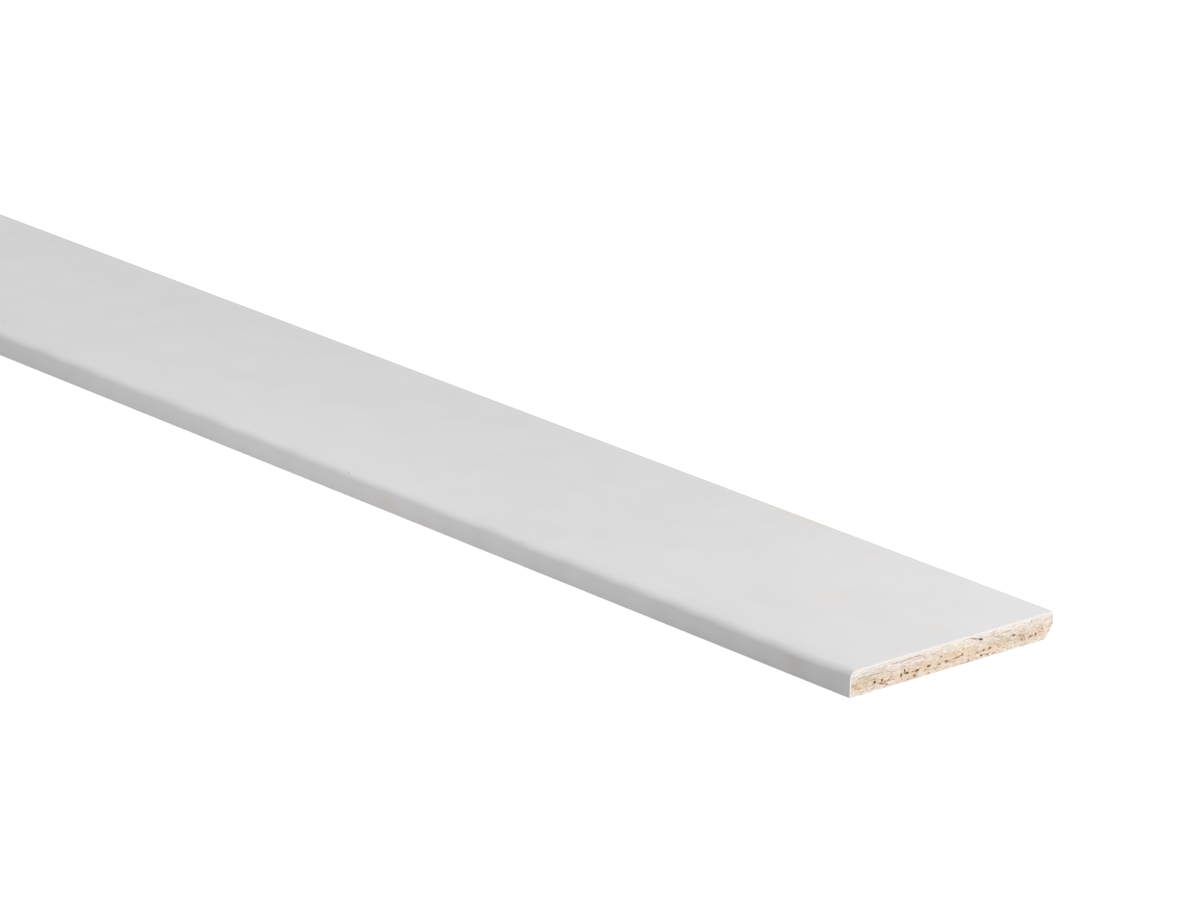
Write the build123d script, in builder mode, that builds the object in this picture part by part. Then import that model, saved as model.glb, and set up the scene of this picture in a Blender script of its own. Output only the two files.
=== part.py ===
"""Flat skirting board, sold by the length: a chipboard core wrapped with white film.

The board lies on its back with its face up. +X runs along the length, +Z points out of the face,
and +Y points from the rounded edge, which is the top of the fitted board, to the floor edge.
The origin is on the back face, in the middle of the board's length and width. Millimetres.
"""

import os

from build123d import *

# Stock size, measured over the film
board_length = 2400.0
board_width = 90.0
board_thickness = 9.0

# White film on the face and the top edge
film_thickness = 0.6

# Rounded corner between the face and the top edge, measured outside the film
top_edge_radius = 2.5

# Eased corner between the top edge and the back, where the film is trimmed off
arris_radius = 0.4

# Bevel behind the floor edge, which clears rough screed in the corner of the room
undercut_width = 3.6
undercut_height = 4.8

# Sides of the section, across the board
top_side = -board_width / 2
floor_side = board_width / 2

# Outline of the whole board, looking along its length
with BuildSketch(Plane.YZ) as board_section:
    with BuildLine():
        Polyline(
            (top_side, 0),
            (floor_side - undercut_width, 0),
            (floor_side, undercut_height),
            (floor_side, board_thickness),
            (top_side, board_thickness),
            close=True,
        )
    make_face()
    face_corner = board_section.vertices().group_by(Axis.X)[0].sort_by(Axis.Y)[-1]
    fillet(face_corner, top_edge_radius)
    back_corner = board_section.vertices().group_by(Axis.X)[0].sort_by(Axis.Y)[0]
    fillet(back_corner, arris_radius)

# Room inside the film: it runs on past the back and the floor edge, where the board is bare
run_on = board_thickness
with BuildSketch(Plane.YZ) as inside_film:
    with Locations((top_side + film_thickness, board_thickness - film_thickness)):
        Rectangle(
            board_width - film_thickness + run_on,
            board_thickness - film_thickness + run_on,
            align=(Align.MIN, Align.MAX),
        )
    inner_corner = inside_film.vertices().group_by(Axis.X)[0].sort_by(Axis.Y)[-1]
    fillet(inner_corner, top_edge_radius - film_thickness)

# Chipboard strip: raw at the back, the bevel, the floor edge and both sawn ends
with BuildPart() as chipboard_core:
    extrude(board_section.sketch, amount=board_length / 2, both=True)
    extrude(inside_film.sketch, amount=board_length / 2, both=True, mode=Mode.INTERSECT)
chipboard_core.part.label = "chipboard_core"

# White film: over the face, round the top edge and down to the back
with BuildPart() as white_film:
    extrude(board_section.sketch, amount=board_length / 2, both=True)
    extrude(inside_film.sketch, amount=board_length / 2, both=True, mode=Mode.SUBTRACT)
white_film.part.label = "white_film"

os.makedirs("parts", exist_ok=True)
export_step(chipboard_core.part, "parts/chipboard_core.step")
export_step(white_film.part, "parts/white_film.step")
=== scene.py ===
"""Dresses the skirting board: its white film, its chipboard, the studio round it and the camera.

Sizes are in metres, in the board's own frame: +X along the length, +Y from the rounded top edge to
the floor edge, +Z out of the white face. The board lies on its back, on Z = 0.
"""

import logging
import math
from collections.abc import Callable
from dataclasses import dataclass
from enum import Enum, IntEnum

import bmesh
import bpy
import numpy as np
from mathutils import Matrix, Vector, noise


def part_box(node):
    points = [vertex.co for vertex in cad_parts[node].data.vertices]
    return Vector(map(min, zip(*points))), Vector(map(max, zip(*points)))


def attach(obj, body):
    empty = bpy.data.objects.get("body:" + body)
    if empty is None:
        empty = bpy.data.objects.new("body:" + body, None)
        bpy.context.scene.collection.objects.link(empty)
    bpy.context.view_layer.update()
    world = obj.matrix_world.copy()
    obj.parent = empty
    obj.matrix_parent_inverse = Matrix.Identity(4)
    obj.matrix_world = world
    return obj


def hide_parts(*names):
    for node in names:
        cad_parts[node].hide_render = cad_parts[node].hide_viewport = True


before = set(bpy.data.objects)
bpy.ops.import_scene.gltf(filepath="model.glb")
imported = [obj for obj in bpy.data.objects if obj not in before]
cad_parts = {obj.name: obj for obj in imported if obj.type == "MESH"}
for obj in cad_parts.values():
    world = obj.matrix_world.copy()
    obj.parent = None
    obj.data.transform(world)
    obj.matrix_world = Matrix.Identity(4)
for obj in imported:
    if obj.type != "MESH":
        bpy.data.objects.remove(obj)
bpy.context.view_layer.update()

LOG = logging.getLogger("skirting_board")

MM = 0.001
BODY = "root"
CHIP_COLOUR = "chip_colour"
BAKE_MAP = "OFBake"

Rgb = tuple[int, int, int]
Colour = tuple[float, float, float]
Point2 = tuple[float, float]
Point3 = tuple[float, float, float]
Socket = bpy.types.NodeSocket
Sockets = bpy.types.bpy_prop_collection


def linear(rgb: Rgb) -> Colour:
    """Turns an sRGB colour, from 0 to 255, into the linear numbers that shaders and attributes hold."""
    shares = (value / 255 for value in rgb)
    return tuple(s / 12.92 if s <= 0.04045 else ((s + 0.055) / 1.055) ** 2.4 for s in shares)


class End(IntEnum):
    """The two ends of the board, by the way that they face along X."""

    RIGHT = 1
    LEFT = -1


class Cut(IntEnum):
    """Ways in which the chipboard's faces were cut, by the number of their material."""

    SAWN = 0
    PLANED = 1


class Tone(Enum):
    """Colours of chips, and the painted shade in the gaps and pits between them, as sRGB."""

    MILK = (245, 238, 232)
    CREAM = (240, 229, 218)
    STRAW = (235, 218, 200)
    PEACH = (238, 210, 182)
    OCHRE = (220, 202, 170)
    ROSE = (231, 207, 195)
    ASH = (206, 194, 179)
    BARK = (192, 154, 120)
    RUST = (168, 104, 62)
    # Near-black brown: painted shade inside holes and pits, darker than their shallow relief alone would
    # render.
    HOLE_SHADE = (38, 17, 7)

    @property
    def colour(self) -> Colour:
        """The tone as linear numbers."""
        return linear(self.value)


@dataclass(frozen=True)
class BoardSection:
    """The board's section, looking along its length."""

    half_length: float
    top_side: float
    floor_side: float
    thickness: float
    film: float
    edge_radius: float = 2.5 * MM
    arris_radius: float = 0.4 * MM
    undercut_width: float = 3.6 * MM
    undercut_height: float = 4.8 * MM

    @classmethod
    def from_frame(cls) -> "BoardSection":
        """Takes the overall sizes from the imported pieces.

        Returns:
            The section.
        """
        _, core_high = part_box("chipboard_core")
        film_low, film_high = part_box("white_film")
        return cls(film_high.x, film_low.y, film_high.y, film_high.z, film_high.z - core_high.z)

    @property
    def core_side(self) -> float:
        """Y of the chipboard's side, under the film of the top edge."""
        return self.top_side + self.film

    @property
    def core_height(self) -> float:
        """Z of the chipboard's face, under the film."""
        return self.thickness - self.film

    @property
    def undercut_start(self) -> float:
        """Y at which the bevel leaves the back."""
        return self.floor_side - self.undercut_width

    @property
    def round_centre(self) -> Point2:
        """Centre (y, z) of the rounded edge."""
        return self.top_side + self.edge_radius, self.thickness - self.edge_radius

    @property
    def arris_centre(self) -> Point2:
        """Centre (y, z) of the film's eased corner at the back."""
        return self.top_side + self.arris_radius, self.arris_radius

    @property
    def way_length(self) -> float:
        """Length of the film's way from the floor edge over the face and down to the back."""
        return self.way_round(self.top_side, 0.0)

    def way_round(self, y: float, z: float) -> float:
        """Measures the film's way from the floor edge over the face and round the top edge.

        Args:
            y: Place across the board.
            z: Height.

        Returns:
            The way to that point, as it is on the film's outside.
        """
        centre_y, centre_z = self.round_centre
        if y >= centre_y:
            return self.floor_side - y
        turn = math.atan2(centre_y - y, max(z - centre_z, 0.0))
        return self.floor_side - centre_y + turn * self.edge_radius + max(centre_z - z, 0.0)

    def core_top(self, y: float) -> float:
        """Gives the height of the chipboard's upper outline.

        Args:
            y: Place across the board.

        Returns:
            Z of the outline there.
        """
        centre_y, centre_z = self.round_centre
        if y >= centre_y:
            return self.core_height
        radius = self.edge_radius - self.film
        return centre_z + math.sqrt(max(radius**2 - (y - centre_y) ** 2, 0.0))

    def core_bottom(self, y: float) -> float:
        """Gives the height of the chipboard's lower outline at a place across the board."""
        return max(y - self.undercut_start, 0.0) / self.undercut_width * self.undercut_height


class NodeBench:
    """A node tree, with short ways to add nodes to it and to join them."""

    def __init__(self, tree: bpy.types.NodeTree) -> None:
        """Takes the tree to work on and empties it."""
        self.tree = tree
        self.tree.nodes.clear()

    @classmethod
    def for_material(cls, name: str) -> tuple[bpy.types.Material, "NodeBench"]:
        """Starts a new material.

        Args:
            name: The material's name.

        Returns:
            The material, and the bench for its nodes.
        """
        made = bpy.data.materials.new(name)
        made.use_nodes = True
        return made, cls(made.node_tree)

    def add(self, kind: str, inputs: dict | None = None, **settings: object) -> bpy.types.Node:
        """Adds one node.

        Args:
            kind: The node's type, without its ShaderNode prefix.
            inputs: Input names or numbers, each with a value or with an output to join to it.
            settings: The node's own properties.

        Returns:
            The new node.
        """
        node = self.tree.nodes.new(kind if kind.startswith("NodeGroup") else "ShaderNode" + kind)
        for name, value in settings.items():
            setattr(node, name, value)
        for name, value in (inputs or {}).items():
            if isinstance(value, Socket):
                self.tree.links.new(value, node.inputs[name])
            else:
                node.inputs[name].default_value = value
        return node

    def maths(self, operation: str, *values: object) -> Socket:
        """Adds a Math node and gives its result."""
        return self.add("Math", dict(enumerate(values)), operation=operation).outputs[0]

    def vector(self, operation: str, *values: object) -> Socket:
        """Adds a Vector Math node and gives the vector that comes out."""
        return self.add("VectorMath", dict(enumerate(values)), operation=operation).outputs[0]

    def tint(self, colour: object, value: Socket) -> Socket:
        """Makes a colour lighter or darker by a value that is 1 where nothing changes."""
        return self.add("VectorMath", {0: colour, "Scale": value}, operation="SCALE").outputs[0]

    def ramp(self, value: Socket, low: float, high: float) -> Socket:
        """Turns values between two limits into a soft mask from 0 to 1."""
        limits = {"Value": value, "From Min": low, "From Max": high}
        return self.add("MapRange", limits, interpolation_type="SMOOTHSTEP").outputs["Result"]

    def spread(self, mask: Socket, limits: Point2) -> Socket:
        """Turns a mask from 0 to 1 into values between two limits."""
        inputs = {"Value": mask, "To Min": limits[0], "To Max": limits[1]}
        return self.add("MapRange", inputs).outputs["Result"]

    def mix(self, share: Socket, first: object, second: object) -> Socket:
        """Mixes two colours, of which the second shows by a share from 0 to 1."""
        colours = [value if isinstance(value, Socket) else (*value, 1.0) for value in (first, second)]
        return self.add("Mix", {0: share, 6: colours[0], 7: colours[1]}, data_type="RGBA").outputs[2]

    def split(self, colour: Socket) -> Sockets:
        """Gives the red, green and blue of a colour."""
        return self.add("SeparateColor", {"Color": colour}).outputs

    def place(self) -> Socket:
        """Gives the object's own coordinates."""
        return self.add("TexCoord").outputs["Object"]

    def finish_surface(self, inputs: dict) -> None:
        """Ends a material with its shader, a Principled BSDF that has these inputs."""
        shader = self.add("BsdfPrincipled", inputs)
        self.add("OutputMaterial", {"Surface": shader.outputs["BSDF"]})


class SurfaceEffects:
    """Groups of nodes that several finishes share."""

    CLOUD_LIMITS = (0.3, 0.7)
    FIBRE_LIMITS = (0.32, 0.68)
    FIBRE_DETAIL = 4.0
    FLECK_LEAST = 0.4
    FLECK_RIM = 0.5

    def __init__(self) -> None:
        """Builds every group once."""
        self.mottle = self.build_mottle()
        self.fibres = self.build_fibres()
        self.flecks = self.build_flecks()

    @staticmethod
    def start(name: str, *numbers: str) -> tuple[NodeBench, Sockets]:
        """Starts a group that follows a place.

        Args:
            name: The group's name.
            numbers: Names of its other inputs.

        Returns:
            The bench for the group's nodes, and the outputs that give its inputs.
        """
        tree = bpy.data.node_groups.new(name, "ShaderNodeTree")
        tree.interface.new_socket("Place", in_out="INPUT", socket_type="NodeSocketVector")
        for number in numbers:
            tree.interface.new_socket(number, in_out="INPUT", socket_type="NodeSocketFloat")
        bench = NodeBench(tree)
        return bench, bench.add("NodeGroupInput").outputs

    @staticmethod
    def end(bench: NodeBench, outputs: dict[str, Socket]) -> bpy.types.NodeTree:
        """Ends a group.

        Args:
            bench: The bench of the group's nodes.
            outputs: Names of its outputs, each with the value to give out.

        Returns:
            The group.
        """
        for name in outputs:
            bench.tree.interface.new_socket(name, in_out="OUTPUT", socket_type="NodeSocketFloat")
        bench.add("NodeGroupOutput", outputs)
        return bench.tree

    def build_mottle(self) -> bpy.types.NodeTree:
        """Builds soft cloudy patches, which stay between a low and a high value.

        Returns:
            The group.
        """
        bench, given = self.start("mottle", "Patch", "Detail", "Low", "High")
        scale = bench.maths("DIVIDE", 1.0, given["Patch"])
        cloud = bench.add("TexNoise", {"Vector": given["Place"], "Scale": scale, "Detail": given["Detail"]})
        limits = {"From Min": self.CLOUD_LIMITS[0], "From Max": self.CLOUD_LIMITS[1]}
        limits |= {"To Min": given["Low"], "To Max": given["High"]}
        value = bench.add("MapRange", {"Value": cloud.outputs["Fac"], **limits})
        return self.end(bench, {"Value": value.outputs["Result"]})

    def build_fibres(self) -> bpy.types.NodeTree:
        """Builds wood fibres that lie flat in the board, as a mask and as a height.

        Returns:
            The group.
        """
        bench, given = self.start("wood_fibres", "Length", "Thickness")
        along = bench.maths("DIVIDE", 1.0, given["Length"])
        through = bench.maths("DIVIDE", 1.0, given["Thickness"])
        scale = bench.add("CombineXYZ", {"X": along, "Y": along, "Z": through}).outputs[0]
        stretched = bench.vector("MULTIPLY", given["Place"], scale)
        streaks = bench.add("TexNoise", {"Vector": stretched, "Scale": 1.0, "Detail": self.FIBRE_DETAIL})
        height = streaks.outputs["Fac"]
        return self.end(bench, {"Mask": bench.ramp(height, *self.FIBRE_LIMITS), "Height": height})

    def build_flecks(self) -> bpy.types.NodeTree:
        """Builds scattered small flecks, each of its own size.

        Returns:
            The group.
        """
        bench, given = self.start("flecks", "Spacing", "Size", "Share")
        scale = bench.maths("DIVIDE", 1.0, given["Spacing"])
        cells = bench.add("TexVoronoi", {"Vector": given["Place"], "Scale": scale}).outputs
        number = bench.split(cells["Color"])
        reach = bench.maths("DIVIDE", given["Size"], given["Spacing"])
        size = bench.maths("MULTIPLY", reach, bench.maths("ADD", number["Green"], self.FLECK_LEAST))
        near = bench.maths("SUBTRACT", size, cells["Distance"])
        spot = bench.ramp(bench.maths("DIVIDE", near, size), 0.0, self.FLECK_RIM)
        chosen = bench.maths("LESS_THAN", number["Red"], given["Share"])
        return self.end(bench, {"Mask": bench.maths("MULTIPLY", spot, chosen)})

    def patches(
        self, bench: NodeBench, place: Socket, size: float, limits: Point2, detail: float = 3.0
    ) -> Socket:
        """Adds soft patches to a material and gives their value, which stays between two limits."""
        inputs = {"Place": place, "Patch": size, "Detail": detail, "Low": limits[0], "High": limits[1]}
        return bench.add("Group", inputs, node_tree=self.mottle).outputs["Value"]

    def wood(self, bench: NodeBench, place: Socket, length: float, thickness: float) -> Sockets:
        """Adds wood fibres to a material and gives their mask and height."""
        inputs = {"Place": place, "Length": length, "Thickness": thickness}
        return bench.add("Group", inputs, node_tree=self.fibres).outputs

    def spots(self, bench: NodeBench, place: Socket, spacing: float, size: float, share: float) -> Socket:
        """Adds flecks to a material, in a share of evenly spaced places, and gives their mask."""
        inputs = {"Place": place, "Spacing": spacing, "Size": size, "Share": share}
        return bench.add("Group", inputs, node_tree=self.flecks).outputs["Mask"]


@dataclass(frozen=True)
class Mark:
    """A faint soft mark on the film, longer or shorter along the board. Millimetres."""

    place: Point3
    length: float
    width: float
    strength: float
    colour: Rgb

    def share(self, bench: NodeBench, place: Socket) -> Socket:
        """Gives how much of the mark shows at each place.

        Args:
            bench: The tree to add the nodes to.
            place: The object's own coordinates.

        Returns:
            The share, from 0 outside the mark.
        """
        middle = tuple(value * MM for value in self.place)
        reach = tuple(2 / (size * MM) for size in (self.length, self.width, self.width))
        scaled = bench.vector("MULTIPLY", bench.vector("SUBTRACT", place, middle), reach)
        far = bench.add("VectorMath", {0: scaled}, operation="LENGTH").outputs["Value"]
        spot = bench.maths("SUBTRACT", 1.0, bench.ramp(far, 0.0, 1.0))
        return bench.maths("MULTIPLY", spot, self.strength)


@dataclass(frozen=True)
class FilmFinish:
    """White satin film, a little cloudy, with the chips under it just showing through."""

    colour: Rgb = (231, 229, 230)
    cut_colour: Rgb = (240, 233, 228)
    speck_colour: Rgb = (150, 146, 142)
    cloud_patch: float = 60 * MM
    cloud_shade: Point2 = (0.985, 1.01)
    smudge_patch: float = 16 * MM
    smudge_shade: Point2 = (1.0, 0.97)
    telegraph_patch: float = 5 * MM
    telegraph_height: float = 0.012 * MM
    grain_patch: float = 0.6 * MM
    grain_roughness: Point2 = (0.42, 0.54)
    grain_height: float = 0.002 * MM
    speck_spacing: float = 34 * MM
    speck_size: float = 0.35 * MM
    speck_share: float = 0.3
    speck_strength: float = 0.6
    cut_start: float = 0.12 * MM
    cut_full: float = 0.03 * MM
    wander_patch: float = 22 * MM
    wander_turn: Point2 = (-0.17, 0.17)
    wander_detail: float = 1.0
    marks: tuple[Mark, ...] = (
        Mark((950, -44.3, 8.2), 1.4, 1.4, 0.5, (140, 138, 136)),
        Mark((1041, -44.5, 8.0), 1.2, 1.2, 0.4, (140, 138, 136)),
        Mark((1146, -3, 9), 20, 20, 0.3, (232, 229, 210)),
        Mark((1190, 3, 9), 14, 14, 0.3, (222, 221, 204)),
        Mark((1084, 43.5, 9), 64, 7, 0.35, (226, 221, 200)),
        Mark((1121, 38, 9), 16, 12, 0.25, (228, 225, 210)),
        Mark((972, -45, 3.9), 18, 8, 0.35, (222, 214, 196)),
        Mark((990, -45, 2.0), 12, 5, 0.3, (222, 214, 200)),
        Mark((1174, -45, 4.5), 20, 9, 0.35, (214, 211, 196)),
    )

    def wander(
        self, bench: NodeBench, effects: SurfaceEffects, place: Socket, section: BoardSection
    ) -> Socket:
        """Gives a height that turns the rounded edge to and fro along the board, as its cutter left it.

        Args:
            bench: The tree to add the nodes to.
            effects: The shared groups.
            place: The object's own coordinates.
            section: The board's sizes.

        Returns:
            The height: none on the face, and the same from the rounding down the edge.
        """
        centre_y, centre_z = section.round_centre
        axes = bench.add("SeparateXYZ", {0: place}).outputs
        out = bench.maths("MAXIMUM", bench.maths("SUBTRACT", centre_y, axes["Y"]), 0.0)
        up = bench.maths("MAXIMUM", bench.maths("SUBTRACT", axes["Z"], centre_z), 0.0)
        along = bench.add("CombineXYZ", {"X": axes["X"]}).outputs[0]
        lean = effects.patches(bench, along, self.wander_patch, self.wander_turn, self.wander_detail)
        rounded = bench.maths("MULTIPLY", bench.maths("ARCTAN2", out, up), section.edge_radius)
        return bench.maths("MULTIPLY", rounded, lean)

    def paint(
        self, bench: NodeBench, effects: SurfaceEffects, place: Socket, section: BoardSection
    ) -> Socket:
        """Gives the film's colour, with its clouds, specks and marks and its paler cut ends.

        Args:
            bench: The tree to add the nodes to.
            effects: The shared groups.
            place: The object's own coordinates.
            section: The board's sizes.

        Returns:
            The colour.
        """
        cloud = effects.patches(bench, place, self.cloud_patch, self.cloud_shade)
        smudges = effects.patches(bench, place, self.smudge_patch, self.smudge_shade)
        colour = bench.tint(linear(self.colour), bench.maths("MULTIPLY", cloud, smudges))
        specks = effects.spots(bench, place, self.speck_spacing, self.speck_size, self.speck_share)
        specks = bench.maths("MULTIPLY", specks, self.speck_strength)
        colour = bench.mix(specks, colour, linear(self.speck_colour))
        for mark in self.marks:
            colour = bench.mix(mark.share(bench, place), colour, linear(mark.colour))
        along = bench.maths("ABSOLUTE", bench.add("SeparateXYZ", {0: place}).outputs["X"])
        cut = bench.ramp(along, section.half_length - self.cut_start, section.half_length - self.cut_full)
        return bench.mix(cut, colour, linear(self.cut_colour))

    def material(self, effects: SurfaceEffects, section: BoardSection) -> bpy.types.Material:
        """Builds the film's material.

        Args:
            effects: The shared groups.
            section: The board's sizes.

        Returns:
            The material.
        """
        made, bench = NodeBench.for_material("white_satin_film")
        place = bench.place()
        chips = effects.patches(bench, place, self.telegraph_patch, (0.0, 1.0))
        grain = effects.patches(bench, place, self.grain_patch, self.grain_roughness)
        relief = {"Height": self.wander(bench, effects, place, section), "Distance": 1.0}
        normal = bench.add("Bump", relief).outputs["Normal"]
        for height, distance in ((chips, self.telegraph_height), (grain, self.grain_height)):
            relief = {"Height": height, "Distance": distance, "Normal": normal}
            normal = bench.add("Bump", relief).outputs["Normal"]
        colour = self.paint(bench, effects, place, section)
        bench.finish_surface({"Base Color": colour, "Roughness": grain, "Normal": normal})
        return made


@dataclass(frozen=True)
class SawnFinish:
    """Chipboard where a saw has cut across it: the chips' own colours, with torn fibres."""

    fibre_length: float = 1.3 * MM
    fibre_thickness: float = 0.2 * MM
    fibre_height: float = 0.05 * MM
    fibre_shade: Point2 = (0.92, 1.07)
    dust_patch: float = 0.8 * MM
    dust_shade: Point2 = (0.97, 1.04)
    roughness: Point2 = (0.95, 0.8)
    gloss: float = 0.1

    def material(self, effects: SurfaceEffects) -> bpy.types.Material:
        """Builds the sawn end's material.

        Args:
            effects: The shared groups.

        Returns:
            The material.
        """
        made, bench = NodeBench.for_material("sawn_chipboard")
        place = bench.place()
        chips = bench.add("Attribute", attribute_name=CHIP_COLOUR).outputs["Color"]
        fibres = effects.wood(bench, place, self.fibre_length, self.fibre_thickness)
        dust = effects.patches(bench, place, self.dust_patch, self.dust_shade)
        shade = bench.maths("MULTIPLY", bench.spread(fibres["Mask"], self.fibre_shade), dust)
        bump = bench.add("Bump", {"Height": fibres["Height"], "Distance": self.fibre_height})
        bench.finish_surface(
            {
                "Base Color": bench.tint(chips, shade),
                "Roughness": bench.spread(fibres["Mask"], self.roughness),
                "Normal": bump.outputs["Normal"],
                "Specular IOR Level": self.gloss,
            }
        )
        return made


@dataclass(frozen=True)
class PlanedFinish:
    """Chipboard as the cutters leave it along the board: flat chips that lie several ways, and pits with
    painted shade in them.
    """

    chip_size: Point3 = (5.2 * MM, 1.7 * MM, 0.55 * MM)
    chip_turns_deg: tuple[float, ...] = (14, 131, 72, 163)
    top_share: float = 0.45
    bend: Point3 = (1.6 * MM, 1.6 * MM, 0.5 * MM)
    bend_patch: float = 7 * MM
    bend_detail: float = 2.0
    fibre_length: float = 1.8 * MM
    fibre_thickness: float = 0.2 * MM
    fibre_shade: Point2 = (0.86, 1.06)
    fibre_rise: float = 0.4
    splinter_size: Point3 = (1.8 * MM, 0.5 * MM, 0.28 * MM)
    splinter_turn_deg: float = 103
    splinter_shade: Point2 = (0.9, 1.08)
    pit_spacing: float = 4.0 * MM
    pit_size: float = 0.75 * MM
    pit_share: float = 0.35
    pit_painted_shade: float = 0.75
    pit_drop: float = 2.5
    relief: float = 0.06 * MM
    relief_strength: float = 0.7
    roughness: Point2 = (0.72, 0.92)
    gloss: float = 0.1
    tones: tuple[tuple[float, Tone], ...] = (
        (0.0, Tone.BARK),
        (0.07, Tone.ASH),
        (0.2, Tone.OCHRE),
        (0.45, Tone.STRAW),
        (0.75, Tone.PEACH),
        (1.0, Tone.CREAM),
    )

    @staticmethod
    def flakes(bench: NodeBench, place: Socket, turn_deg: float, size: Point3) -> tuple[Socket, Socket]:
        """Scatters flat flakes that lie one way.

        Args:
            bench: The tree to add the nodes to.
            place: The coordinates to follow.
            turn_deg: The way that they lie, from the board's length.
            size: Their length, width and thickness.

        Returns:
            A random colour for each flake, and the coordinates along it.
        """
        turn = {"Vector": place, "Angle": math.radians(turn_deg)}
        turned = bench.add("VectorRotate", turn, rotation_type="Z_AXIS").outputs[0]
        scaled = bench.vector("MULTIPLY", turned, tuple(1.0 / side for side in size))
        cells = bench.add("TexVoronoi", {"Vector": scaled, "Scale": 1.0})
        return cells.outputs["Color"], turned

    def chips(self, bench: NodeBench, effects: SurfaceEffects, place: Socket) -> tuple[Socket, Socket]:
        """Scatters chips that lie several ways, one over another, each with its grain along it.

        Args:
            bench: The tree to add the nodes to.
            effects: The shared groups.
            place: The coordinates to follow.

        Returns:
            A random colour for each chip, and the grain.
        """
        narrow = (1.0, self.fibre_length / self.fibre_thickness, 1.0)
        chips = grain = None
        for turn_deg in self.chip_turns_deg:
            upper, turned = self.flakes(bench, place, turn_deg, self.chip_size)
            drawn = bench.vector("MULTIPLY", turned, narrow)
            fibres = effects.wood(bench, drawn, self.fibre_length, self.fibre_thickness)["Mask"]
            if chips is None:
                chips, grain = upper, fibres
                continue
            on_top = bench.maths("GREATER_THAN", bench.split(upper)["Blue"], 1.0 - self.top_share)
            chips = bench.mix(on_top, chips, upper)
            grain = bench.add("Mix", {0: on_top, 2: grain, 3: fibres}).outputs[0]
        return chips, grain

    def material(self, effects: SurfaceEffects) -> bpy.types.Material:
        """Builds the planed faces' material.

        Args:
            effects: The shared groups.

        Returns:
            The material.
        """
        made, bench = NodeBench.for_material("planed_chipboard")
        place = bench.place()
        waves = {"Vector": place, "Scale": 1.0 / self.bend_patch, "Detail": self.bend_detail}
        sway = bench.vector("MULTIPLY", bench.add("TexNoise", waves).outputs["Color"], self.bend)
        moved = bench.vector("ADD", place, sway)
        chips, grain = self.chips(bench, effects, moved)
        number = bench.split(chips)
        splinters, _ = self.flakes(bench, moved, self.splinter_turn_deg, self.splinter_size)
        layered = bench.vector("MULTIPLY", moved, (1.0, 1.0, self.chip_size[0] / self.chip_size[2]))
        pits = effects.spots(bench, layered, self.pit_spacing, self.pit_size, self.pit_share)
        tones = bench.add("ValToRGB", {"Fac": number["Red"]})
        self.paint_tones(tones.color_ramp)
        streak = bench.spread(grain, self.fibre_shade)
        blend = bench.spread(bench.split(splinters)["Red"], self.splinter_shade)
        colour = bench.tint(tones.outputs["Color"], bench.maths("MULTIPLY", streak, blend))
        # Painted shade in the pits: their colour is pulled towards the near-black hole shade.
        colour = bench.mix(bench.maths("MULTIPLY", pits, self.pit_painted_shade), colour, Tone.HOLE_SHADE.colour)
        raised = bench.maths("ADD", number["Blue"], bench.maths("MULTIPLY", grain, self.fibre_rise))
        raised = bench.maths("SUBTRACT", raised, bench.maths("MULTIPLY", pits, self.pit_drop))
        relief = {"Height": raised, "Distance": self.relief, "Strength": self.relief_strength}
        bench.finish_surface(
            {
                "Base Color": colour,
                "Roughness": bench.spread(number["Green"], self.roughness),
                "Normal": bench.add("Bump", relief).outputs["Normal"],
                "Specular IOR Level": self.gloss,
            }
        )
        return made

    def paint_tones(self, ramp: bpy.types.ColorRamp) -> None:
        """Sets a ramp to the tones of the chips, the common ones widest.

        Args:
            ramp: The ramp to set.
        """
        while len(ramp.elements) < len(self.tones):
            ramp.elements.new(1.0)
        for element, (position, tone) in zip(ramp.elements, self.tones):
            element.position = position
            element.color = (*tone.colour, 1.0)


@dataclass(frozen=True)
class Chip:
    """One chip that the saw has cut through: a flat lens, seen from the end. Millimetres, degrees."""

    y: float
    z: float
    length: float
    thickness: float
    tilt: float
    tone: Tone
    shade: float = 1.0
    depth: float = 0.0


@dataclass(frozen=True)
class Gap:
    """An open gap or pit between chips, seen from the end. Millimetres, degrees."""

    y: float
    z: float
    length: float
    height: float
    tilt: float = 0.0
    strength: float = 1.0


@dataclass(frozen=True)
class Stain:
    """A soft patch in which every chip leans to one tone. Millimetres."""

    y: float
    z: float
    length: float
    height: float
    tone: Tone
    strength: float


@dataclass(frozen=True)
class ChipLayer:
    """A layer of the board and what its chips are like, drawn between limits. Millimetres, degrees."""

    bottom: float
    top: float
    chips: int
    length: Point2
    thickness: Point2
    tilt: float
    tones: dict[Tone, float]


@dataclass(frozen=True)
class EndDetail:
    """What stands out on one sawn end, and the start of its random draws."""

    seed: int
    stains: tuple[Stain, ...]
    chips: tuple[Chip, ...]
    gaps: tuple[Gap, ...]


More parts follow.
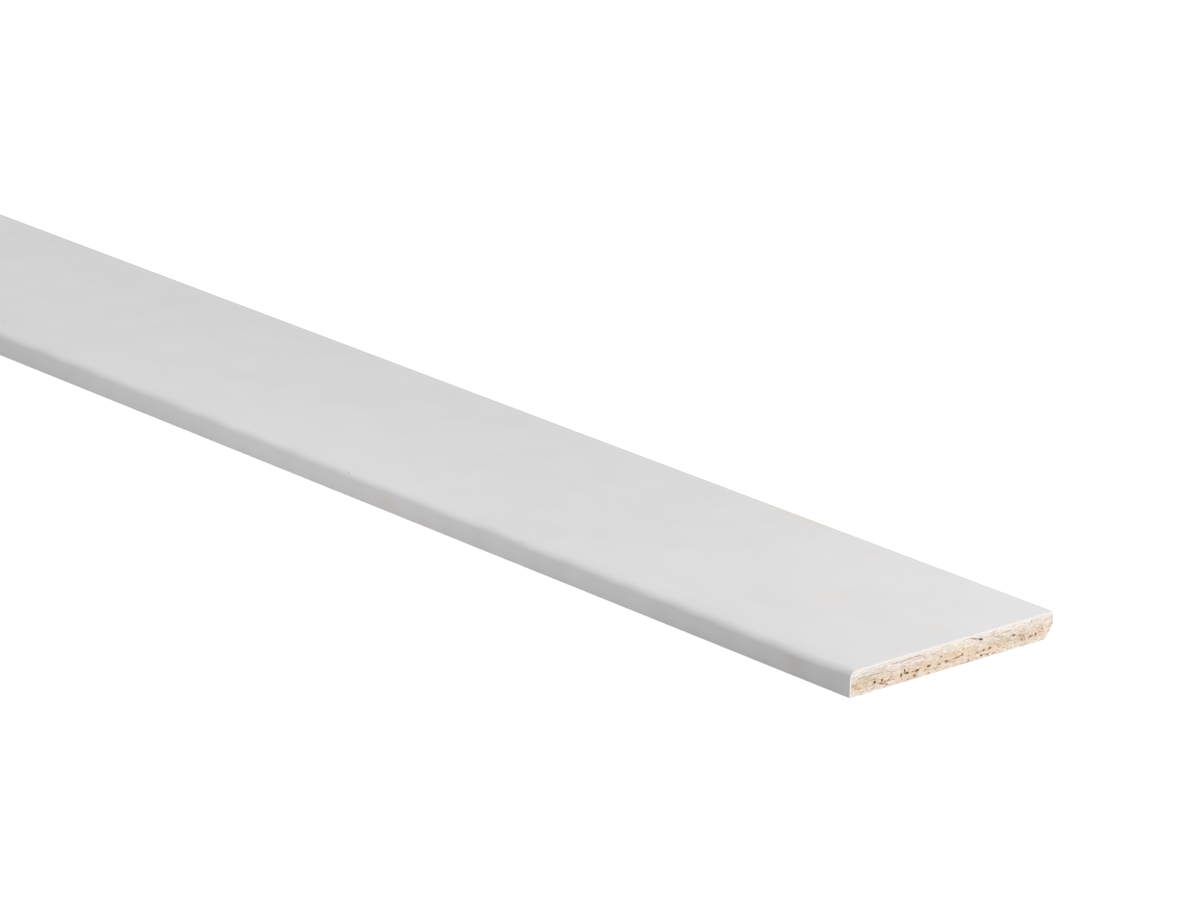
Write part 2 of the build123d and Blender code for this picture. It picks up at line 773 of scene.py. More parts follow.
@dataclass(frozen=True)
class BakeSheet:
    """A square sheet on which a long piece is laid out in rows, so that its maps keep their detail."""

    half_length: float
    rows: int = 4
    overlap: float = 12 * MM
    row_gap: float = 0.06
    side_gap: float = 0.01

    def in_row(self, x: float, middle: float, share: float, band: Point2) -> Point2:
        """Places a point of a long face.

        Args:
            x: The point's place along the board.
            middle: The place of its face's middle, which decides the row.
            share: How far the point lies across the face, from 0 to 1.
            band: Bottom and top of the rows on the sheet.

        Returns:
            The place on the sheet.
        """
        row_length = 2 * self.half_length / self.rows
        row = min(max(int((middle + self.half_length) / row_length), 0), self.rows - 1)
        start = row * row_length - self.half_length - self.overlap
        height = (band[1] - band[0]) / self.rows
        across = self.row_gap / 2 + (1 - self.row_gap) * share
        return (x - start) / (row_length + 2 * self.overlap), band[0] + (row + across) * height

    def in_strip(self, along: float, share: float, band: Point2) -> Point2:
        """Places a point of an end by how far it lies along and across the end, from 0 to 1."""
        return self.side_gap + (1 - 2 * self.side_gap) * along, band[0] + (band[1] - band[0]) * share


class SawnPicture:
    """Colour and depth of every point on a sawn end, laid chip over chip, in millimetres."""

    WAVE = 0.25
    WAVE_TURNS = (4, 9)
    LENS_TIP = 0.02
    OUTSIDE = -2.0
    RIM_POWER = 4
    RIM_PAINTED_SHADE = 0.18
    RIM_DEPTH = 0.03
    CHIP_SHADE = (1.0, 0.045)
    CHIP_DEPTH = (0.0, 0.05)
    GAP_BROWN = 0.38
    GAP_SLOPE = 2.5
    GAP_START = 0.8

    def __init__(self, y: np.ndarray, z: np.ndarray, seed: int) -> None:
        """Starts with an even face.

        Args:
            y: Places of the grid's columns across the board, rising.
            z: Heights of the grid's points, by row and column.
            seed: Start of the random draws.
        """
        self.y = y
        self.z = z
        self.draw = np.random.default_rng(seed)
        self.plain = np.array(Tone.STRAW.colour)
        self.colour = np.empty((*z.shape, 3))
        self.colour[:] = self.plain
        self.depth = np.zeros(z.shape)

    def lens(
        self, y: float, z: float, length: float, height: float, tilt: float
    ) -> tuple[slice, np.ndarray]:
        """Finds how deep the points near a flat lens lie inside it.

        Args:
            y: Middle of the lens across the board.
            z: Its height.
            length: Its length.
            height: Its thickness.
            tilt: Its turn from level, in degrees.

        Returns:
            The columns it reaches, and for their points 1 in the middle, 0 at the rim and less outside.
        """
        reach = length / 2 + 2 * height
        columns = slice(*np.searchsorted(self.y, (y - reach, y + reach)))
        across = self.y[None, columns] - y
        up = self.z[:, columns] - z
        turn = math.radians(tilt)
        along = (across * math.cos(turn) + up * math.sin(turn)) / (length / 2)
        away = (up * math.cos(turn) - across * math.sin(turn)) / (height / 2)
        turns = self.draw.uniform(*self.WAVE_TURNS)
        wave = self.WAVE * np.sin(turns * along + self.draw.uniform(0, math.tau))
        room = np.maximum(1 - along**2, self.LENS_TIP)
        inside = 1 - np.abs(away + wave * room) / room
        return columns, np.where(np.abs(along) < 1, inside, self.OUTSIDE)

    def lay_chip(self, chip: Chip) -> None:
        """Lays one chip over what is there, darker along its rim: the chip's darker edge and painted shade
        in the seam between chips.

        Args:
            chip: The chip.
        """
        columns, inside = self.lens(chip.y, chip.z, chip.length, chip.thickness, chip.tilt)
        covered = inside > 0
        rim = np.clip(1 - inside, 0, 1)[covered] ** self.RIM_POWER
        colour = np.array(chip.tone.colour) * chip.shade
        # The rim darkening is partly the chip's own darker edge and partly painted shade where one chip
        # meets the next.
        self.colour[:, columns][covered] = colour[None] * (1 - self.RIM_PAINTED_SHADE * rim)[:, None]
        self.depth[:, columns][covered] = chip.depth + self.RIM_DEPTH * rim

    def lay_layer(self, layer: ChipLayer) -> None:
        """Lays a layer's chips in a random order.

        Args:
            layer: The layer.
        """
        tones = list(layer.tones)
        weights = np.array(list(layer.tones.values()))
        for _ in range(layer.chips):
            self.lay_chip(
                Chip(
                    y=self.draw.uniform(self.y[0], self.y[-1]),
                    z=self.draw.uniform(layer.bottom, layer.top),
                    length=self.draw.uniform(*layer.length),
                    thickness=self.draw.uniform(*layer.thickness),
                    tilt=self.draw.normal(0, layer.tilt),
                    tone=tones[self.draw.choice(len(tones), p=weights / weights.sum())],
                    shade=self.draw.normal(*self.CHIP_SHADE),
                    depth=self.draw.uniform(*self.CHIP_DEPTH),
                )
            )

    def lean(self, columns: slice, tone: Tone, share: np.ndarray) -> None:
        """Moves columns' colours towards a tone, by a share, and keeps the chips that show in them."""
        ratio = np.array(tone.colour) / self.plain
        self.colour[:, columns] *= ratio ** share[..., None]

    def stain(self, stain: Stain) -> None:
        """Lays one soft patch of colour over the chips.

        Args:
            stain: The patch.
        """
        across = (self.y[None] - stain.y) / (stain.length / 2)
        up = (self.z - stain.z) / (stain.height / 2)
        self.lean(slice(None), stain.tone, stain.strength * np.exp(-(across**2) - up**2))

    def open_gap(self, gap: Gap, deepest: float) -> None:
        """Opens one gap: it goes in, its colour is pulled towards painted shade, and the chips round it are
        brown.

        Args:
            gap: The gap.
            deepest: How far a strong gap goes in.
        """
        columns, inside = self.lens(gap.y, gap.z, gap.length, gap.height, gap.tilt)
        self.lean(columns, Tone.RUST, np.clip(1 + inside / 2, 0, 1) ** 2 * self.GAP_BROWN * gap.strength)
        # The hole's mask sets both its depth and its painted shade: the colour goes towards near black
        # where it is deepest.
        hole = np.clip(inside * self.GAP_SLOPE + self.GAP_START, 0, 1) * gap.strength
        hole = hole * hole * (3 - 2 * hole)
        dark = np.array(Tone.HOLE_SHADE.colour)
        self.colour[:, columns] += (dark - self.colour[:, columns]) * hole[..., None]
        self.depth[:, columns] = np.maximum(self.depth[:, columns], hole * deepest)

    def saw(self, mark: float, shade: float, depth: float) -> None:
        """Draws the saw's fine upright marks.

        Args:
            mark: Width of a mark.
            shade: How much a mark changes the colour.
            depth: How far a mark goes in.
        """
        stops = np.arange(self.y[0], self.y[-1] + mark, mark)
        marks = np.interp(self.y, stops, self.draw.uniform(0, 1, len(stops)))
        self.colour *= (1 - shade * marks)[None, :, None]
        self.depth += depth * marks[None]


@dataclass
class SawnEnd:
    """One sawn end of the chipboard: a fine grid with a collar that leads to the long faces.

    The sizes of the small gaps and of the saw's marks are in millimetres, as those of the detail are.
    """

    section: BoardSection
    end: End
    detail: EndDetail
    pitch: float = 0.15 * MM
    round_steps: int = 14
    collar: float = 4 * MM
    collar_step: int = 30
    deepest_gap: float = 0.7
    small_gaps: int = 150
    small_gap_z: Point2 = (2.0, 0.9)
    small_gap_length: Point2 = (0.25, 0.9)
    small_gap_height: Point2 = (0.15, 0.28)
    small_gap_tilt: float = 12
    small_gap_strength: Point2 = (0.2, 0.55)
    saw_mark: float = 0.45
    saw_shade: float = 0.05
    saw_depth: float = 0.02

    @property
    def bevel_steps(self) -> int:
        """How many columns the bevel has."""
        return round(self.section.undercut_width / self.pitch)

    def columns(self) -> np.ndarray:
        """Places the grid's columns, closer together in the rounded edge.

        Returns:
            Their places across the board.
        """
        section = self.section
        centre, _ = section.round_centre
        turn = np.linspace(0, math.pi / 2, self.round_steps, endpoint=False)
        rounded = centre - (centre - section.core_side) * np.cos(turn)
        flat_steps = round((section.undercut_start - centre) / self.pitch)
        flat = np.linspace(centre, section.undercut_start, flat_steps, endpoint=False)
        bevel = np.linspace(section.undercut_start, section.floor_side, self.bevel_steps + 1)
        return np.concatenate([rounded, flat, bevel])

    def heights(self, columns: np.ndarray) -> np.ndarray:
        """Gives the heights of the grid's points.

        Args:
            columns: Places of the columns.

        Returns:
            One row of heights for each row of the grid.
        """
        low = np.array([self.section.core_bottom(y) for y in columns])
        high = np.array([self.section.core_top(y) for y in columns])
        share = np.linspace(0, 1, round(self.section.core_height / self.pitch) + 1)
        return low + (high - low) * share[:, None]

    @staticmethod
    def layers() -> tuple[ChipLayer, ...]:
        """Gives the board's layers: coarse chips in the middle, fine ones under both faces.

        Returns:
            The layers, in the order that they are laid.
        """
        pale = {Tone.ROSE: 1.2, Tone.ASH: 0.6}
        middle = {Tone.STRAW: 4, Tone.PEACH: 1.8, Tone.CREAM: 4.5, Tone.OCHRE: 1.8, **pale, Tone.BARK: 0.25}
        between = {Tone.STRAW: 3, Tone.CREAM: 4.5, Tone.OCHRE: 1, Tone.ROSE: 1, Tone.ASH: 0.7}
        lower = {Tone.CREAM: 4, Tone.STRAW: 3, Tone.PEACH: 1, Tone.MILK: 2, **pale}
        upper = {Tone.CREAM: 5, Tone.STRAW: 2, Tone.MILK: 3, **pale}
        face = {Tone.MILK: 6, Tone.CREAM: 3, Tone.ROSE: 0.7}
        return (
            ChipLayer(0.0, 8.4, 2600, (1.8, 6.0), (0.2, 0.55), 10, middle),
            ChipLayer(0.0, 1.9, 900, (1.2, 4.0), (0.15, 0.4), 7, lower),
            ChipLayer(4.2, 6.2, 450, (1.5, 5.0), (0.15, 0.4), 9, between),
            ChipLayer(5.6, 8.4, 1500, (1.5, 6.0), (0.15, 0.4), 6, upper),
            ChipLayer(7.3, 8.6, 800, (1.5, 7.0), (0.15, 0.35), 2, face),
            ChipLayer(-0.1, 0.5, 450, (1.5, 5.0), (0.15, 0.3), 2, upper),
        )

    def small_gap(self, picture: SawnPicture) -> Gap:
        """Draws one small gap.

        Args:
            picture: The end's picture, which gives the random draws.

        Returns:
            The gap.
        """
        draw = picture.draw
        return Gap(
            y=draw.uniform(picture.y[0], picture.y[-1]),
            z=draw.normal(*self.small_gap_z),
            length=draw.uniform(*self.small_gap_length),
            height=draw.uniform(*self.small_gap_height),
            tilt=draw.normal(0, self.small_gap_tilt),
            strength=draw.uniform(*self.small_gap_strength),
        )

    def picture(self, columns: np.ndarray, heights: np.ndarray) -> SawnPicture:
        """Lays the chips and opens the gaps.

        Args:
            columns: Places of the grid's columns.
            heights: Heights of its points.

        Returns:
            The finished picture.
        """
        picture = SawnPicture(columns / MM, heights / MM, self.detail.seed)
        for layer in self.layers():
            picture.lay_layer(layer)
        for chip in self.detail.chips:
            picture.lay_chip(chip)
        for stain in self.detail.stains:
            picture.stain(stain)
        for _ in range(self.small_gaps):
            picture.open_gap(self.small_gap(picture), self.deepest_gap)
        for gap in self.detail.gaps:
            picture.open_gap(gap, self.deepest_gap)
        picture.saw(self.saw_mark, self.saw_shade, self.saw_depth)
        return picture

    def build(self, bm: bmesh.types.BMesh) -> list[bmesh.types.BMEdge]:
        """Builds the grid and its collar.

        Args:
            bm: The mesh to add them to.

        Returns:
            The edges of the collar's open rim.
        """
        columns = self.columns()
        heights = self.heights(columns)
        picture = self.picture(columns, heights)
        last_column = len(columns) - 1
        last_row = len(heights) - 1
        colour_layer = bm.verts.layers.float_color[CHIP_COLOUR]
        grid = bmesh.ops.create_grid(bm, x_segments=last_column, y_segments=last_row, size=0.5)["verts"]
        spots = {}
        for vert in grid:
            column = round((vert.co.x + 0.5) * last_column)
            row = round((vert.co.y + 0.5) * last_row)
            face_x = self.section.half_length - picture.depth[row, column] * MM
            vert.co = (self.end * face_x, columns[column], heights[row, column])
            vert[colour_layer] = (*picture.colour[row, column], 1.0)
            spots[vert] = (column, row)
        for face in {face for vert in grid for face in vert.link_faces}:
            face.material_index = Cut.SAWN
        return self.build_collar(bm, spots, last_column, last_row)

    def build_collar(
        self,
        bm: bmesh.types.BMesh,
        spots: dict[bmesh.types.BMVert, tuple[int, int]],
        last_column: int,
        last_row: int,
    ) -> list[bmesh.types.BMEdge]:
        """Leads the grid's fine rim back to a plainer one, which the long faces start from.

        Args:
            bm: The mesh.
            spots: Column and row of each point of the grid.
            last_column: Number of the last column.
            last_row: Number of the last row.

        Returns:
            The edges of the plainer rim.
        """
        rim = [edge for edge in bm.edges if edge.is_boundary and edge.verts[0] in spots]
        backs = {}
        for item in bmesh.ops.extrude_edge_only(bm, edges=rim)["geom"]:
            if isinstance(item, bmesh.types.BMFace):
                item.material_index = Cut.PLANED
            elif isinstance(item, bmesh.types.BMVert):
                front = next(e.other_vert(item) for e in item.link_edges if e.other_vert(item) in spots)
                backs[spots[front]] = item
                item.co.x = self.end * (self.section.half_length - self.collar)
        kept_columns = [*range(self.round_steps), *range(self.round_steps, last_column, self.collar_step)]
        kept_columns += [last_column - self.bevel_steps, last_column]
        kept_rows = [0, last_row // 2, last_row]
        welds = {}
        for (column, row), vert in backs.items():
            if row in (0, last_row):
                near = (min(kept_columns, key=lambda kept: abs(kept - column)), row)
            else:
                near = (column, min(kept_rows, key=lambda kept: abs(kept - row)))
            if backs[near] is not vert:
                welds[vert] = backs[near]
        bmesh.ops.weld_verts(bm, targetmap=welds)
        open_edges = [edge for edge in bm.edges if edge.is_boundary]
        return [edge for edge in open_edges if edge.verts[0].co.x * self.end > 0]


@dataclass
class ChipboardCore:
    """The chipboard strip, with its two sawn ends."""

    section: BoardSection
    cuts_along: int = 119
    smooth_deg: float = 50
    right_band: Point2 = (0.89, 0.985)
    left_band: Point2 = (0.78, 0.875)
    bare_band: Point2 = (0.12, 0.76)
    covered_band: Point2 = (0.0, 0.11)
    leaning: float = 0.3
    upright: float = 0.9
    right: EndDetail = EndDetail(
        seed=7,
        stains=(
            Stain(-38, 3.9, 14, 3.4, Tone.OCHRE, 0.8),
            Stain(-41, 2.2, 5, 1.6, Tone.PEACH, 0.8),
            Stain(-36, 1.0, 10, 1.6, Tone.ROSE, 0.5),
            Stain(-17, 2.5, 26, 3.0, Tone.PEACH, 0.5),
            Stain(2, 3.4, 15, 3.8, Tone.PEACH, 0.65),
            Stain(3, 1.2, 10, 1.6, Tone.ROSE, 0.4),
            Stain(17, 2.4, 14, 3.0, Tone.PEACH, 0.35),
            Stain(23, 3.9, 8, 2.8, Tone.OCHRE, 0.5),
            Stain(31, 3.6, 6, 2.6, Tone.ASH, 0.4),
            Stain(38, 3.8, 9, 5.0, Tone.PEACH, 0.55),
            Stain(-20, 7.2, 16, 1.8, Tone.ROSE, 0.5),
            Stain(-16.7, 1.0, 2.0, 1.4, Tone.BARK, 0.7),
        ),
        chips=(
            Chip(-22.0, 7.35, 12, 0.3, 1, Tone.ROSE, 0.74),
            Chip(-15.5, 7.4, 4.5, 0.3, -3, Tone.BARK, 0.78),
            Chip(-12.5, 6.4, 2.6, 0.3, -52, Tone.ASH, 0.75),
            Chip(-36.4, 5.65, 15, 0.3, -1.5, Tone.ASH, 0.72),
            Chip(-28.0, 5.2, 3.2, 0.3, -25, Tone.ASH, 0.75),
            Chip(-26.6, 4.6, 1.6, 0.3, 20, Tone.ASH, 0.75),
            Chip(18.4, 7.1, 3.0, 0.22, 13, Tone.ASH, 0.85),
            Chip(21.5, 5.5, 2.6, 0.22, 10, Tone.ASH, 0.85),
            Chip(-22.8, 6.4, 6.0, 0.4, 2, Tone.MILK, 1.0),
        ),
        gaps=(
            Gap(-34.2, 2.9, 1.1, 0.75, -20),
            Gap(-31.0, 2.95, 1.0, 0.5, -10),
            Gap(-31.0, 1.7, 3.8, 0.3, -16, 0.5),
            Gap(-29.1, 1.0, 0.8, 0.4, 0, 0.6),
            Gap(-35.2, 0.9, 0.7, 0.3, 0, 0.5),
            Gap(-22.6, 2.55, 0.65, 1.0),
            Gap(-21.2, 3.7, 1.5, 0.4, 80),
            Gap(-20.1, 2.75, 1.8, 0.55, -10),
            Gap(-17.5, 2.7, 0.9, 0.35, 5, 0.6),
            Gap(-15.6, 2.55, 2.0, 0.55, 8),
            Gap(-16.7, 1.0, 1.4, 0.6, 0, 0.35),
            Gap(-19.6, 0.6, 1.4, 0.35, -5, 0.45),
            Gap(-10.5, 2.9, 1.8, 0.5),
            Gap(-10.5, 0.4, 1.4, 0.3, 0, 0.45),
            Gap(-6.0, 2.4, 1.8, 0.3, 6, 0.7),
            Gap(-2.7, 2.7, 1.7, 0.4, 3, 0.95),
            Gap(-5.2, 4.8, 1.0, 0.5, 10, 0.5),
            Gap(1.6, 2.9, 4.4, 0.24, 8),
            Gap(4.3, 3.3, 1.1, 0.42, 12, 0.9),
            Gap(7.2, 0.75, 0.9, 0.4, 0, 0.5),
            Gap(7.7, 1.9, 0.8, 0.3, 30, 0.4),
            Gap(11.0, 2.55, 0.9, 0.45, 0, 0.65),
            Gap(13.8, 2.6, 0.9, 0.5, 0, 0.8),
            Gap(16.6, 2.85, 1.3, 0.5, 5),
            Gap(12.9, 1.0, 0.9, 0.5, -20, 0.75),
            Gap(15.6, 0.8, 1.0, 0.45, -10, 0.75),
            Gap(18.2, 0.7, 2.2, 0.3, 0, 0.45),
            Gap(24.4, 0.7, 1.0, 0.3, 0, 0.4),
            Gap(12.4, 6.65, 2.2, 0.5, -16),
            Gap(9.6, 7.45, 4.4, 0.28, -14, 0.5),
            Gap(27.3, 4.65, 1.5, 0.5, -12, 0.8),
            Gap(29.8, 4.1, 1.3, 0.5, 0, 0.35),
            Gap(31.7, 3.5, 1.0, 0.6, 30, 0.4),
            Gap(30.5, 2.4, 1.4, 0.45, 0, 0.4),
            Gap(34.8, 2.5, 1.8, 0.6, 0, 0.5),
            Gap(37.2, 2.8, 0.9, 0.8, 0, 0.7),
            Gap(40.0, 4.0, 0.8, 0.6, 0, 0.45),
            Gap(36.5, 5.5, 0.8, 0.4, 0, 0.35),
            Gap(35.1, 7.6, 1.0, 0.45, 0, 0.45),
        ),
    )
    left: EndDetail = EndDetail(
        seed=19,
        stains=(
            Stain(-30, 3.5, 14, 3.0, Tone.PEACH, 0.5),
            Stain(-8, 3.0, 18, 3.4, Tone.OCHRE, 0.5),
            Stain(14, 3.4, 16, 3.6, Tone.PEACH, 0.6),
            Stain(33, 4.0, 10, 4.0, Tone.OCHRE, 0.5),
        ),
        chips=(
            Chip(-24.0, 6.9, 11, 0.3, -2, Tone.ROSE, 0.78),
            Chip(8.0, 7.2, 9, 0.28, 2, Tone.ASH, 0.8),
            Chip(27.0, 6.3, 7, 0.3, -8, Tone.BARK, 0.85),
        ),
        gaps=(
            Gap(-37.5, 2.2, 1.2, 0.4, 0, 0.6),
            Gap(-33.0, 3.1, 1.6, 0.5, 10),
            Gap(-27.5, 2.6, 1.0, 0.7),
            Gap(-21.0, 4.6, 1.4, 0.4, -15, 0.8),
            Gap(-18.2, 2.9, 2.4, 0.4, 5),
            Gap(-11.0, 3.4, 1.2, 0.5, 60),
            Gap(-6.5, 2.5, 3.6, 0.28, -6),
            Gap(-1.0, 5.6, 1.5, 0.4, 20, 0.7),
            Gap(3.5, 3.0, 1.0, 0.6),
            Gap(9.2, 2.4, 1.7, 0.5, -8),
            Gap(15.0, 3.8, 1.1, 0.5, 0, 0.8),
            Gap(20.4, 2.8, 2.6, 0.35, 8),
            Gap(26.0, 5.2, 1.8, 0.4, -20, 0.7),
            Gap(31.0, 3.2, 1.2, 0.6),
            Gap(36.5, 2.4, 0.9, 0.5, 30, 0.8),
        ),
    )

    def build(self) -> bpy.types.Object:
        """Builds the strip's mesh.

        Returns:
            The strip, at the origin.
        """
        bm = bmesh.new()
        bm.verts.layers.float_color.new(CHIP_COLOUR)
        rims = SawnEnd(self.section, End.RIGHT, self.right).build(bm)
        rims += SawnEnd(self.section, End.LEFT, self.left).build(bm)
        for face in bmesh.ops.bridge_loops(bm, edges=rims)["faces"]:
            face.material_index = Cut.PLANED
        divide_along(bm, self.section, self.cuts_along)
        bmesh.ops.recalc_face_normals(bm, faces=bm.faces)
        lay_out(bm, self.sheet_place)
        return finished_piece("chipboard_strip", bm, self.smooth_deg)

    def sheet_place(self, face: bmesh.types.BMFace, middle: Vector, spot: Vector) -> Point2:
        """Finds one corner of a face on the sheet: the sawn ends lie largest, the covered faces smallest.

        Args:
            face: The face.
            middle: The face's middle.
            spot: The corner.

        Returns:
            The place on the sheet.
        """
        section = self.section
        sheet = BakeSheet(section.half_length)
        if face.material_index == Cut.SAWN:
            along = (spot.y - section.core_side) / (section.floor_side - section.core_side)
            band = self.right_band if middle.x > 0 else self.left_band
            return sheet.in_strip(along, spot.z / section.core_height, band)
        out = face.normal
        if out.z > -self.leaning and out.y < self.leaning:
            share = section.way_round(spot.y, spot.z) / section.way_length
            return sheet.in_row(spot.x, middle.x, share, self.covered_band)
        back = section.undercut_start - section.core_side
        bevel = math.hypot(section.undercut_width, section.undercut_height)
        if out.y > self.upright:
            way = back + bevel + spot.z - section.undercut_height
        elif out.y > self.leaning:
            way = back + bevel * (spot.y - section.undercut_start) / section.undercut_width
        else:
            way = spot.y - section.core_side
        bare = back + bevel + section.core_height - section.undercut_height
        return sheet.in_row(spot.x, middle.x, way / bare, self.bare_band)

    def dress(self, strip: bpy.types.Object, effects: SurfaceEffects) -> None:
        """Gives the strip its finishes, and its place in the frame.

        Args:
            strip: The built strip.
            effects: The shared groups of nodes.
        """
        strip.data.materials.append(SawnFinish().material(effects))
        strip.data.materials.append(PlanedFinish().material(effects))
        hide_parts("chipboard_core")
        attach(strip, BODY)


@dataclass
class FilmWrap:
    """The white film over the face and round the top edge, with its cut edges."""

    section: BoardSection
    face_steps: int = 10
    round_steps: int = 16
    edge_steps: int = 4
    arris_steps: int = 7
    cuts_along: int = 599
    smooth_deg: float = 18
    cut_bevel: float = 0.1 * MM
    face_wave: float = 0.03 * MM
    edge_wave: float = 0.05 * MM
    round_wave: float = 0.24 * MM
    ripple_patch: Point3 = (26 * MM, 30 * MM, 30 * MM)
    ripple_shares: Point2 = (0.65, 0.35)
    ripple_finer: float = 2.7
    right_band: Point2 = (0.95, 0.98)
    left_band: Point2 = (0.9, 0.93)
    outer_band: Point2 = (0.2, 0.88)
    hidden_band: Point2 = (0.0, 0.19)
    hidden_share: float = 0.8
    leaning: float = 0.5
    upright: float = 0.9

    def stations(self) -> list[tuple[Point2, Point2]]:
        """Follows the film from the floor edge over the face and down the top edge.

        Returns:
            Outer and inner point (y, z) of each station.
        """
        section = self.section
        centre_y, centre_z = section.round_centre
        found = []
        for y in np.linspace(section.floor_side, centre_y, self.face_steps, endpoint=False):
            found.append(((y, section.thickness), (y, section.core_height)))
        radii = (section.edge_radius, section.edge_radius - section.film)
        for turn in np.linspace(math.pi / 2, math.pi, self.round_steps, endpoint=False):
            y, z = math.cos(turn), math.sin(turn)
            found.append(tuple((centre_y + radius * y, centre_z + radius * z) for radius in radii))
        for z in np.linspace(centre_z, section.arris_radius, self.edge_steps, endpoint=False):
            found.append(((section.top_side, z), (section.core_side, z)))
        return found + self.arris_stations()

    def arris_stations(self) -> list[tuple[Point2, Point2]]:
        """Follows the film round the eased corner, to where it is trimmed off.

        Returns:
            Outer and inner point (y, z) of each station.
        """
        radius = self.section.arris_radius
        centre_y, centre_z = self.section.arris_centre
        found = []
        for share in np.linspace(0, 1, self.arris_steps):
            turn = share * math.pi / 2
            outer = (centre_y - radius * math.cos(turn), centre_z - radius * math.sin(turn))
            found.append((outer, (self.section.core_side, centre_z * (1 - share))))
        return found

    def build(self) -> bpy.types.Object:
        """Builds the film's mesh.

        Returns:
            The film, at the origin.
        """
        bm = bmesh.new()
        stations = self.stations()
        last = len(stations) - 1
        for vert in bmesh.ops.create_grid(bm, x_segments=last, y_segments=1, size=0.5)["verts"]:
            station = stations[round((vert.co.x + 0.5) * last)]
            vert.co = (self.section.half_length, *station[0 if vert.co.y > 0 else 1])
        pulled = bmesh.ops.extrude_face_region(bm, geom=bm.faces[:] + bm.edges[:] + bm.verts[:])["geom"]
        moved = [item for item in pulled if isinstance(item, bmesh.types.BMVert)]
        bmesh.ops.translate(bm, verts=moved, vec=(-2 * self.section.half_length, 0, 0))
        self.ease_cut_edges(bm)
        divide_along(bm, self.section, self.cuts_along)
        self.ripple(bm)
        bmesh.ops.recalc_face_normals(bm, faces=bm.faces)
        lay_out(bm, self.sheet_place)
        return finished_piece("white_film_wrap", bm, self.smooth_deg)

    def sheet_place(self, face: bmesh.types.BMFace, middle: Vector, spot: Vector) -> Point2:
        """Finds one corner of a face on the sheet: the film's outside lies large, its glued side small.

        Args:
            face: The face.
            middle: The face's middle.
            spot: The corner.

        Returns:
            The place on the sheet.
        """
        section = self.section
        sheet = BakeSheet(section.half_length)
        way = section.way_round(spot.y, spot.z)
        depth = self.depth_in_film(spot.y, spot.z)[0]
        if abs(face.normal.x) > self.upright:
            band = self.right_band if middle.x > 0 else self.left_band
            return sheet.in_strip(way / section.way_length, depth / section.film, band)
        at_back = middle.z < section.arris_radius / 2
        deep = self.depth_in_film(middle.y, middle.z)[0] > section.film * self.hidden_share
        band = self.hidden_band if deep and not at_back else self.outer_band
        if band == self.outer_band and face.normal.y > self.leaning:
            way -= depth
        if band == self.outer_band and face.normal.z < -self.leaning:
            way += spot.y - section.top_side
        share = (way + section.film) / (section.way_length + 2 * section.film)
        return sheet.in_row(spot.x, middle.x, share, band)

    def depth_in_film(self, y: float, z: float) -> tuple[float, Vector, float]:
        """Measures how far a point lies under the film's outer surface.

        Args:
            y: Place across the board.
            z: Height.

        Returns:
            The depth, the way out of the surface, and how much the film ripples there.
        """
        centre_y, centre_z = self.section.round_centre
        if y >= centre_y:
            return self.section.thickness - z, Vector((0, 0, 1)), self.face_wave
        if z <= centre_z:
            return y - self.section.top_side, Vector((0, -1, 0)), self.edge_wave
        out = Vector((0, y - centre_y, z - centre_z))
        share = math.sin(2 * math.atan2(z - centre_z, centre_y - y))
        wave = self.edge_wave + (self.round_wave - self.edge_wave) * share
        return self.section.edge_radius - out.length, out.normalized(), wave

    def ease_cut_edges(self, bm: bmesh.types.BMesh) -> None:
        """Takes the sharpness off the film's outer cut edges.

        Args:
            bm: The film's mesh.
        """
        sharp = []
        for edge in bm.edges:
            depths = [self.depth_in_film(v.co.y, v.co.z)[0] for v in edge.verts]
            across = edge.verts[0].co.x == edge.verts[1].co.x
            at_floor_edge = all(v.co.y >= self.section.floor_side for v in edge.verts)
            if max(depths) <= self.section.film / 2 and (across or at_floor_edge):
                sharp.append(edge)
        bmesh.ops.bevel(
            bm,
            geom=sharp,
            offset=self.cut_bevel,
            offset_type="OFFSET",
            affect="EDGES",
            segments=2,
            profile=0.5,
            material=-1,
        )

    def ripple(self, bm: bmesh.types.BMesh) -> None:
        """Presses the outer surface in by a little, unevenly, as film on chipboard lies.

        Args:
            bm: The film's mesh.
        """
        broad, fine = self.ripple_shares
        for vert in bm.verts:
            depth, out, wave = self.depth_in_film(vert.co.y, vert.co.z)
            if depth < self.section.film / 2:
                place = Vector(value / patch for value, patch in zip(vert.co, self.ripple_patch))
                rise = broad * noise.noise(place) + fine * noise.noise(place * self.ripple_finer)
                vert.co -= out * wave * (0.5 + 0.5 * rise)

    def dress(self, film: bpy.types.Object, effects: SurfaceEffects) -> None:
        """Gives the film its finish, and its place in the frame.

        Args:
            film: The built film.
            effects: The shared groups of nodes.
        """
        film.data.materials.append(FilmFinish().material(effects, self.section))
        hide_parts("white_film")
        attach(film, BODY)


def divide_along(bm: bmesh.types.BMesh, section: BoardSection, cuts: int) -> None:
    """Divides the edges that run from end to end by a number of cuts."""
    along = [e for e in bm.edges if abs(e.verts[0].co.x - e.verts[1].co.x) > section.half_length]
    bmesh.ops.subdivide_edges(bm, edges=along, cuts=cuts)


def lay_out(
    bm: bmesh.types.BMesh, sheet_place: Callable[[bmesh.types.BMFace, Vector, Vector], Point2]
) -> None:
    """Lays a piece out flat for its maps.

    Args:
        bm: The piece's mesh.
        sheet_place: Finds a corner on the sheet, from its face, the face's middle and the corner.
    """
    layer = bm.loops.layers.uv.new(BAKE_MAP)
    for face in bm.faces:
        middle = face.calc_center_median()
        for loop in face.loops:
            loop[layer].uv = sheet_place(face, middle, loop.vert.co)


